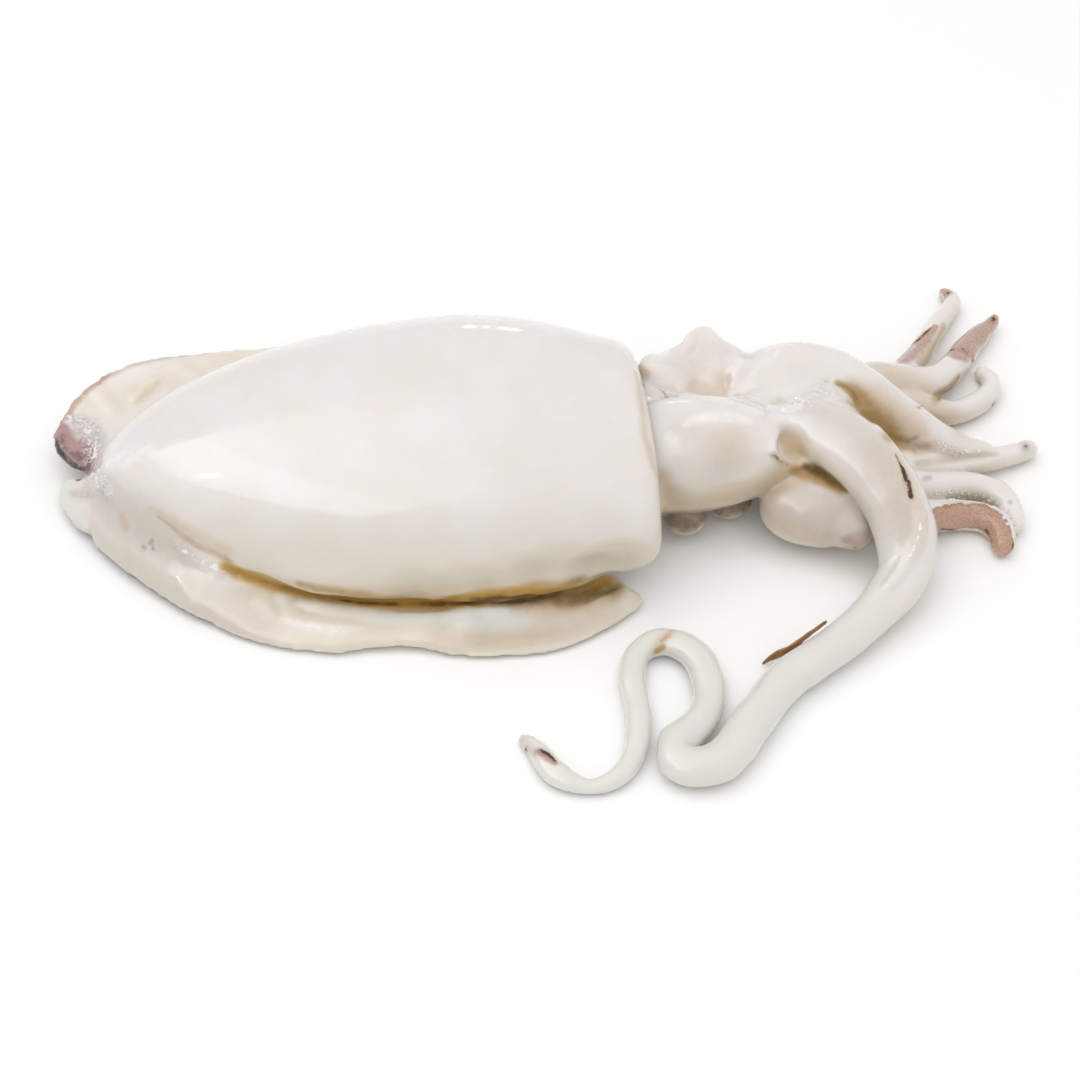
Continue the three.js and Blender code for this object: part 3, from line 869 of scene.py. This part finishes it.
class Paint:
    """A material whose nodes are added one by one."""

    def __init__(self, name):
        self.material = bpy.data.materials.new(name)
        self.material.use_nodes = True
        self.tree = self.material.node_tree
        self.place = self.add("TexCoord", {}, "Object")

    def add(self, kind, inputs, output=0, **settings):
        return add_node(self.tree, "ShaderNode" + kind, inputs, output, **settings)

    def shade(self, **inputs):
        """Sets the surface itself. An input's spaces are written as underscores."""
        shader = self.tree.nodes["Principled BSDF"]
        feed(self.tree, shader, {key.replace("_", " "): value for key, value in inputs.items()})
        print(self.material.name, "painted in", len(self.tree.nodes), "nodes")

    def stain(self, name):
        """A stain's strength at each point."""
        return self.add("Attribute", {}, "Fac", attribute_name=name)

    def noise(self, size, detail=2):
        """Clouds about size across, in metres."""
        return self.add("TexNoise", {"Vector": self.place, "Scale": 1 / size, "Detail": detail}, "Fac")

    def math(self, operation, *values):
        return self.add("Math", dict(enumerate(values)), operation=operation)

    def ramp(self, value, low, high, top=1.0):
        """0 at low, rising smoothly to top at high."""
        ends = {"Value": value, "From Min": low, "From Max": high, "To Max": top}
        return self.add("MapRange", ends, interpolation_type="SMOOTHSTEP")

    def mix(self, share, a, b):
        return self.add("Mix", {0: share, 6: a, 7: b}, output=2, data_type="RGBA")


print("paint:", *(name for name in vars(Paint) if not name.startswith("_")))

# %% [markdown]
# The flesh is a warm white with faint clouds. Stains lie over it from the faintest to the darkest, some of
# them painted shade and painted highlights: each layer reads an attribute, breaks it up with noise and
# shows where the result passes from low to high.

# %% Flesh colours
FLESH_WARM = (0.755, 0.71, 0.675, 1)
FLESH_COOL = (0.775, 0.74, 0.725, 1)
STAIN_LAYERS = [  # attribute, colour, low, high, depth, raggedness
    # the far fin's creamy tone, and painted shade on the sides and on low flesh
    ("cream", (0.70, 0.635, 0.52), 0.0, 1.0, 0.9, 0.05),
    # painted shade in folds
    ("hollow", (0.60, 0.47, 0.29), 0.2, 1.1, 0.4, 0.2),
    ("grey", (0.55, 0.485, 0.43), 0.0, 1.0, 0.8, 0.2),
    ("glassy", (0.70, 0.69, 0.65), 0.0, 0.9, 0.95, 0.1),
    ("lilac", (0.47, 0.42, 0.42), 0.1, 1.0, 0.75, 0.4),
    # tan, gold and umber are real stains in some places and painted shade in others
    ("tan", (0.55, 0.40, 0.24), 0.0, 1.0, 0.8, 0.2),
    ("gold", (0.40, 0.25, 0.07), 0.05, 0.8, 0.92, 0.2),
    # the crease's brown stain and the painted shade in it
    ("crease", (0.60, 0.39, 0.13), 0.05, 0.5, 0.85, 0.25),
    ("crease", (0.43, 0.25, 0.06), 0.35, 0.75, 0.85, 0.2),
    ("crease", (0.15, 0.08, 0.025), 0.74, 1.0, 0.9, 0.12),
    ("line", (0.50, 0.34, 0.22), 0.3, 0.85, 0.5, 0.2),
    ("rose", (0.46, 0.31, 0.25), 0.1, 0.7, 0.9, 0.6),
    ("blush", (0.47, 0.275, 0.22), 0.15, 0.95, 0.85, 0.6),
    ("skin", (0.26, 0.13, 0.08), 0.22, 0.38, 0.8, 0.8),
    ("skin", (0.52, 0.33, 0.245), 0.36, 0.6, 0.9, 0.8),
    ("purple", (0.37, 0.215, 0.21), 0.1, 0.5, 0.9, 0.3),
    ("purple", (0.15, 0.075, 0.07), 0.6, 1.05, 0.9, 0.6),
    ("umber", (0.15, 0.095, 0.045), 0.1, 0.9, 0.85, 0.35),
    ("line", (0.06, 0.035, 0.025), 0.78, 0.96, 0.92, 0.28),
    ("dark", (0.03, 0.016, 0.014), 0.25, 0.7, 0.95, 0.7),
    # painted highlights: pale patches and white glints
    ("sheen", (0.88, 0.87, 0.87), 0.1, 0.9, 0.8, 0.8),
    ("glint", (0.90, 0.88, 0.87), 0.62, 0.75, 0.9, 1.3),
]
CLUMP_CONTRAST = 2.4


def flesh_colour(paint, stains):
    """Clouded white with the layers of the stains, painted shade and painted highlights that a piece has.
    """
    clouds = paint.ramp(paint.noise(16 * MM), low=0.3, high=0.7)
    colour = paint.mix(clouds, FLESH_WARM, FLESH_COOL)
    clumps = paint.noise(2.4 * MM, detail=5)
    for stain, tint, low, high, depth, raggedness in STAIN_LAYERS:
        if stain in stains:
            contrast = CLUMP_CONTRAST * raggedness
            broken = paint.math("MULTIPLY_ADD", clumps, contrast, 1 - contrast / 2)
            share = paint.ramp(paint.math("MULTIPLY", paint.stain(stain), broken), low, high, depth)
            colour = paint.mix(share, colour, (*tint, 1))
    return colour


print(len(STAIN_LAYERS), "layers for", len({layer[0] for layer in STAIN_LAYERS}), "stains")

# %% [markdown]
# Two patterns are finer than the net. A Voronoi texture makes the brown freckles of the skin, a dot in each
# cell. Noise has thin crooked lines where it passes its middle value, and on the wrinkles these are painted
# glints, white crinkles of highlight.

# %% Freckles and painted glint lines
FRECKLE_SIZE = 0.55 * MM
FRECKLE_BROWN = (0.19, 0.075, 0.05, 1)
CRINKLE_SIZE = 1.9 * MM
GLINT_LINE_WHITE = (0.88, 0.86, 0.86, 1)
NOISE_MIDDLE = 0.5


def with_freckles(paint, colour):
    skin = paint.math("MAXIMUM", paint.stain("skin"), paint.stain("rose"))
    cells = paint.add("TexVoronoi", {"Vector": paint.place, "Scale": 1 / FRECKLE_SIZE}, "Distance")
    dots = paint.ramp(cells, low=0.4, high=0.2, top=0.6)
    share = paint.math("MULTIPLY", dots, paint.ramp(skin, low=0.3, high=0.6))
    return paint.mix(share, colour, FRECKLE_BROWN)


def with_painted_glint_lines(paint, colour):
    wiggle = paint.math("SUBTRACT", paint.noise(CRINKLE_SIZE, detail=1), NOISE_MIDDLE)
    # Painted highlight: white lines where the noise passes its middle value.
    lines = paint.ramp(paint.math("ABSOLUTE", wiggle), low=0.04, high=0.01, top=0.8)
    share = paint.math("MULTIPLY", lines, paint.ramp(paint.stain("crinkle"), low=0.3, high=0.9))
    return paint.mix(share, colour, GLINT_LINE_WHITE)


print("freckles", FRECKLE_SIZE / MM, "mm apart, crinkles about", CRINKLE_SIZE / MM, "mm long")

# %% [markdown]
# Raw flesh lets light in, deeper where it is glassy, so it has subsurface scattering, under a clear coat
# that fades in the dull slits. The film of water is uneven, which a bump shows without more triangles.

# %% Wet flesh
SWELL_SIZE = 5 * MM
SWELL_HEIGHT = 4.0
FILM_SIZE = 1.0 * MM
FILM_HEIGHT = 0.4
FOLD_SIZE = 1.6 * MM
FOLD_HEIGHT = 12.0


def wet_flesh(name, stains):
    paint = Paint(name)
    colour = flesh_colour(paint, stains)
    if "skin" in stains:
        colour = with_freckles(paint, colour)
    dull = paint.math("MAXIMUM", paint.stain("umber"), paint.stain("crease"))
    wet = paint.ramp(paint.math("MAXIMUM", dull, paint.stain("line")), low=0.8, high=0.2)
    crinkle = paint.stain("crinkle")
    swell = paint.noise(SWELL_SIZE)
    film = paint.math("MULTIPLY_ADD", swell, SWELL_HEIGHT, paint.noise(FILM_SIZE, detail=3))
    folds = paint.math("MULTIPLY", paint.noise(FOLD_SIZE), paint.math("MULTIPLY", crinkle, FOLD_HEIGHT))
    relief = paint.math("MULTIPLY_ADD", film, FILM_HEIGHT, folds)
    paint.shade(
        Base_Color=with_painted_glint_lines(paint, colour),
        Normal=paint.add("Bump", {"Height": relief, "Strength": 1.0, "Distance": 0.12 * MM}),
        Roughness=0.38,
        IOR=1.4,
        Subsurface_Weight=0.5,
        Subsurface_Radius=(1, 0.7, 0.5),
        Subsurface_Scale=paint.math("MULTIPLY_ADD", paint.stain("glassy"), 6 * MM, 4 * MM),
        Specular_IOR_Level=paint.math("MULTIPLY", wet, 0.5),
        Coat_Weight=wet,
        Coat_Roughness=0.1,
        Coat_IOR=paint.math("MULTIPLY_ADD", crinkle, 0.6, 1.4),
    )
    return paint.material


for flesh in (mantle, head):
    flesh.mesh.materials.append(wet_flesh(flesh.thing.name, flesh.mesh.attributes.keys()))

# %% [markdown]
# A shred of brown skin hangs at the tentacle's edge, a thin damp curl with its own solid. It gets a finer
# net, and an image of skin would be too much for so small a piece, so noise mixes two colours.

# %% Skin shred
SHRED_NET = 0.3 * MM
SKIN_ORANGE = (0.46, 0.19, 0.05, 1)
SKIN_BROWN = (0.15, 0.055, 0.016, 1)

shred = Flesh("skin_shred_curl", "skin_shred", SHRED_NET)
shred.relax(rounds=10)
ripple(shred, size=2.2 * MM, height=0.18 * MM, seed=17)
shred.finish()
shred_paint = Paint("brown_skin")
shred_colour = shred_paint.mix(shred_paint.noise(2 * MM), SKIN_ORANGE, SKIN_BROWN)
shred_paint.shade(Base_Color=shred_colour, Roughness=0.35, Coat_Weight=0.6, Coat_Roughness=0.1)
shred.mesh.materials.append(shred_paint.material)
print("shred", len(shred.corners), "triangles")

# %% [markdown]
# Suckers sit in rows along the arms, each a little cup. It could be modelled from a sphere, but it is
# round, so it is turned on a lathe from half its outline. Rays find the rows on the head.

# %% Sucker cup and rows
CUP_SIDES = 9
CUP_PROFILE = [(0, -0.5), (0.7, -0.45), (1.0, -0.1), (1.0, 0.25), (0.8, 0.42), (0.5, 0.25), (0.2, 0.02),
               (0, 0)]
SUCKER_ROWS = [
    [(930, 493), (952, 491), (975, 496), (994, 501), (1008, 512), (1014, 524), (1015, 536)],
    [(944, 503), (962, 499), (984, 502), (1000, 512), (1007, 524)],
    [(938, 441), (950, 447), (963, 452)],
    [(944, 450), (956, 455)],
]


def lathe(name, profile, sides):
    """A closed round mesh: the profile's ends lie on the axis."""
    turned = bmesh.new()
    rows = []
    for reach, height in profile:
        angles = [math.tau * turn / sides for turn in range(sides if reach else 1)]
        rows.append([turned.verts.new((reach * math.cos(a), reach * math.sin(a), height)) for a in angles])
    for low, high in zip(rows, rows[1:]):
        for turn in range(sides):
            after = (turn + 1) % sides
            around = ((low, turn), (low, after), (high, after), (high, turn))
            corners = [row[i % len(row)] for row, i in around]
            turned.faces.new(list(dict.fromkeys(corners)))
    bmesh.ops.recalc_face_normals(turned, faces=turned.faces)
    mesh = bpy.data.meshes.new(name)
    turned.to_mesh(mesh)
    turned.free()
    return mesh


def rows_mesh(name, rows):
    """The rows as lines of points on the head."""
    mesh = bpy.data.meshes.new(name)
    points = []
    lines = []
    for row in rows:
        lines += [(len(points) + i, len(points) + i + 1) for i in range(len(row) - 1)]
        points += head.seen(row)
    mesh.from_pydata(points, lines, [])
    return mesh


cup = bpy.data.objects.new("sucker_cup", lathe("sucker_cup", CUP_PROFILE, CUP_SIDES))
scene.collection.objects.link(cup)
suckers = bpy.data.objects.new("suckers", rows_mesh("sucker_rows", SUCKER_ROWS))
scene.collection.objects.link(suckers)
print(len(SUCKER_ROWS), "rows of suckers, a cup of", len(cup.data.polygons), "faces")

# %% [markdown]
# Placing each sucker by hand would be slow, so Geometry Nodes do it: a row is cut into even steps, each is
# laid on the flesh, and a cup is set there along its normal, none of quite the same size. The last nodes
# make the copies real and give them their material.

# %% Sucker tree
SMALLEST_SHARE = 0.5
SUCKER_INPUTS = {"Flesh": "Object", "Cup": "Object", "Spacing": "Float", "Radius": "Float", "Seed": "Int",
                 "Skin": "Material"}

tree = bpy.data.node_groups.new("suckers on flesh", "GeometryNodeTree")
tree.interface.new_socket("Rows", in_out="INPUT", socket_type="NodeSocketGeometry")
tree.interface.new_socket("Suckers", in_out="OUTPUT", socket_type="NodeSocketGeometry")
sockets = {}
for label, kind in SUCKER_INPUTS.items():
    socket = tree.interface.new_socket(label, in_out="INPUT", socket_type="NodeSocket" + kind)
    sockets[label] = socket.identifier
entry = tree.nodes.new("NodeGroupInput").outputs


def step(kind, inputs, output=0, **settings):
    return add_node(tree, "GeometryNode" + kind, inputs, output, **settings)


flesh_shape = step("ObjectInfo", {"Object": entry["Flesh"]}, "Geometry")
cup_shape = step("ObjectInfo", {"Object": entry["Cup"]}, "Geometry")
line = step("MeshToCurve", {"Mesh": entry["Rows"]})
even = step("ResampleCurve", {"Curve": line, "Length": entry["Spacing"]}, mode="LENGTH")
spot = step("InputPosition", {})
surface = step("Proximity", {"Geometry": flesh_shape, "Sample Position": spot}, "Position")
laid = step("SetPosition", {"Geometry": even, "Position": surface})
facing = step("InputNormal", {})
out = step("SampleNearestSurface", {"Mesh": flesh_shape, "Value": facing, "Sample Position": spot},
           data_type="FLOAT_VECTOR")
turn = add_node(tree, "FunctionNodeAlignRotationToVector", {"Vector": out})
small = add_node(tree, "ShaderNodeMath", {"Value": entry["Radius"]}, operation="MULTIPLY")
small.node.inputs[1].default_value = SMALLEST_SHARE
size = add_node(tree, "FunctionNodeRandomValue",
                {"Min": small, "Max": entry["Radius"], "Seed": entry["Seed"]}, output=1)
cups = step("InstanceOnPoints", {"Points": laid, "Instance": cup_shape, "Rotation": turn, "Scale": size})
real = step("RealizeInstances", {"Geometry": cups})
painted = step("SetMaterial", {"Geometry": real, "Material": entry["Skin"]})
tree.links.new(painted, tree.nodes.new("NodeGroupOutput").inputs[0])
print("sucker tree of", len(tree.nodes), "nodes")

# %% [markdown]
# The suckers are a little whiter than the arms. A modifier runs the tree, its inputs are set by identifier
# before it first runs, and the result is baked into a mesh.

# %% Suckers on the arms
SUCKER_WHITE = (0.80, 0.76, 0.72, 1)
SUCKER_TAN = (0.68, 0.59, 0.52, 1)
CUP_POINTS = CUP_SIDES * (len(CUP_PROFILE) - 2) + 2

sucker_paint = Paint("sucker_white")
sucker_colour = sucker_paint.mix(sucker_paint.noise(2 * MM), SUCKER_WHITE, SUCKER_TAN)
sucker_paint.shade(Base_Color=sucker_colour, Roughness=0.35, Coat_Weight=0.9, Coat_Roughness=0.06)
sucker_values = {"Flesh": head.thing, "Cup": cup, "Spacing": 2.1 * MM, "Radius": 0.9 * MM, "Seed": 23,
                 "Skin": sucker_paint.material}
growth = suckers.modifiers.new("suckers", "NODES")
growth.node_group = tree
for label, value in sucker_values.items():
    growth[sockets[label]] = value
grown = bpy.data.meshes.new_from_object(suckers.evaluated_get(bpy.context.evaluated_depsgraph_get()))
suckers.modifiers.clear()
suckers.data = grown
grown.shade_smooth()
bpy.data.objects.remove(cup)
print(len(grown.vertices) // CUP_POINTS, "suckers,", len(grown.polygons), "faces")

# %% [markdown]
# The animal lies on plain white in an even light. A pale floor carries its soft shadow, and the world's
# white background lights it from all sides. The floor belongs to the stage, not to the part.

# %% Table and room
FLOOR_HALF = 3.0
FLOOR_WHITE = (0.93, 0.93, 0.93, 1)
ROOM_STRENGTH = 0.70

floor_corners = [(x * FLOOR_HALF, y * FLOOR_HALF, 0) for x, y in ((-1, -1), (1, -1), (1, 1), (-1, 1))]
floor_mesh = bpy.data.meshes.new("table")
floor_mesh.from_pydata(floor_corners, [], [(0, 1, 2, 3)])
floor = bpy.data.objects.new("table", floor_mesh)
scene.collection.objects.link(floor)
floor_paint = Paint("table_white")
floor_paint.shade(Base_Color=FLOOR_WHITE, Roughness=0.9)
floor_mesh.materials.append(floor_paint.material)

room = bpy.data.worlds.new("room")
room.use_nodes = True
background = room.node_tree.nodes["Background"]
background.inputs["Color"].default_value = (1, 1, 1, 1)
background.inputs["Strength"].default_value = ROOM_STRENGTH
scene.world = room
scene.view_settings.view_transform = "Standard"
print("floor", 2 * FLOOR_HALF, "m wide, room of strength", ROOM_STRENGTH)

# %% [markdown]
# Wet flesh shows its lights, so each has one task. Three panels on the tail's side are only mirrored, as
# the broad pale bands on the mantle. The ceiling only lights. Small boxes behind and a spark are mirrored
# as glints.

# %% Lights
def softbox(name, place, aim, size, radiance, gloss=True, shine=True):
    """A rectangle of light. Without gloss it isn't mirrored, without shine it is only mirrored."""
    lamp = bpy.data.lights.new(name, "AREA")
    lamp.shape = "RECTANGLE"
    lamp.size = size[0]
    lamp.size_y = size[1]
    lamp.energy = radiance * math.pi * size[0] * size[1]
    box = bpy.data.objects.new(name, lamp)
    box.location = place
    box.rotation_euler = (Vector(aim) - Vector(place)).to_track_quat("-Z", "Y").to_euler()
    box.visible_glossy = gloss
    box.visible_diffuse = shine
    scene.collection.objects.link(box)


TENT_AIM = Vector((-0.05, 0, 0.03))
TENT_AZIMUTH = math.radians(-72)
TENT_REACH = 0.95
TENT_PANEL = (1.6, 0.34)
TENT_PANELS = [(42, 2.7), (62, 1.3), (82, 0.6)]  # rise in degrees, radiance
RIM_BOXES = [(-0.045, 0.03), (0.0, 0.012), (0.055, 0.05)]  # place across, width
RIM_HEIGHT = 0.06
RIM_AIM = (0, 0, 0.03)

for rise, radiance in TENT_PANELS:
    tilt = math.radians(rise)
    aside = TENT_REACH * math.cos(tilt)
    height = TENT_REACH * math.sin(tilt)
    outward = Vector((aside * math.sin(TENT_AZIMUTH), -aside * math.cos(TENT_AZIMUTH), height))
    softbox(f"tent_panel_{rise}", TENT_AIM + outward, TENT_AIM, TENT_PANEL, radiance, shine=False)
softbox("ceiling", place=(-0.1, -0.1, 1.2), aim=(0, 0, 0), size=(1.6, 1.2), radiance=1.4, gloss=False)
for number, (across, width) in enumerate(RIM_BOXES):
    softbox(f"rim_{number}", (across, 1.0, 0.12), RIM_AIM, (width, RIM_HEIGHT), radiance=5.0, shine=False)
softbox("spark", place=(-0.64, -0.12, 0.5), aim=(0, 0, 0.02), size=(0.05, 0.05), radiance=14.0, shine=False)

# %% [markdown]
# Last, the frame is told what was made: each piece rides on the root, and three take the place of their
# solids.

for flesh, node, slot in ((mantle, "mantle", "mantle_flesh"), (head, "head", "head_flesh"),
                          (shred, "skin_shred", "brown_skin")):
    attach(flesh.thing, "root")
    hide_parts(node)
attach(suckers, "root")
